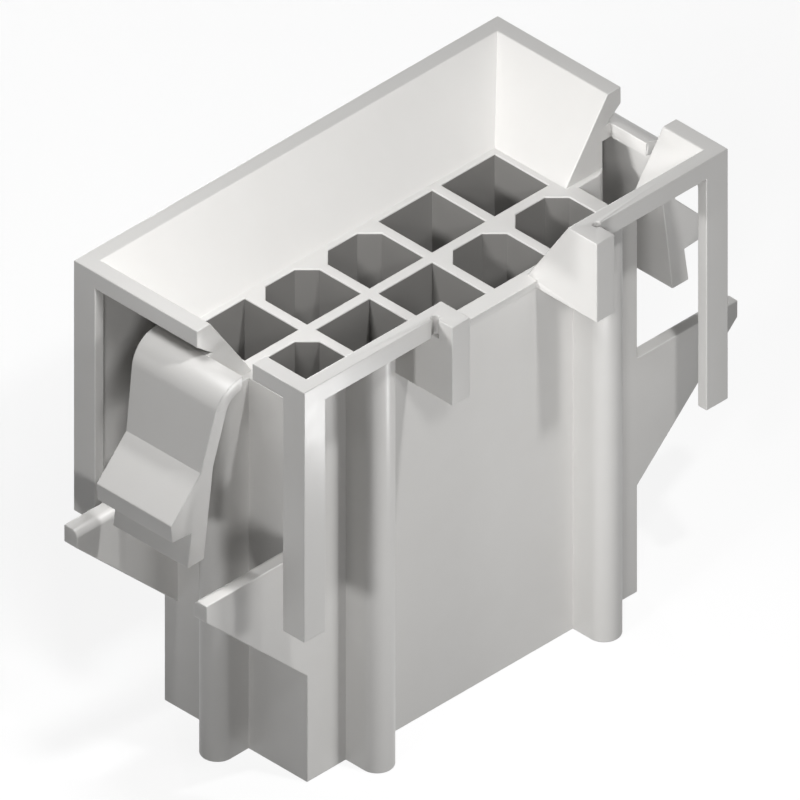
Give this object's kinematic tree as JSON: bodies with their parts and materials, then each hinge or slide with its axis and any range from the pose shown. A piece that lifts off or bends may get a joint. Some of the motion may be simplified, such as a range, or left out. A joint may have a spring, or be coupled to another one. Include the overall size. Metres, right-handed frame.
{
  "type": "connector housing",
  "caption": "Moulded housing for a panel-mounted power connector, with keyed mating cells, a funnel lead-in, corner posts and sprung snap-in arms.",
  "frame": {"origin": "middle of the wire-entry face, on the wall between the two rows of cells", "axes": "+Z from the wire-entry face towards the mating funnel, +X along the rows, -Y towards the gap for the mating latch"},
  "size_m": [0.036, 0.0166, 0.0257],
  "materials": {
    "nylon": "satin moulded nylon, natural off-white"
  },
  "bodies": {
    "root": {"housing": "nylon"}
  },
  "joints": []
}
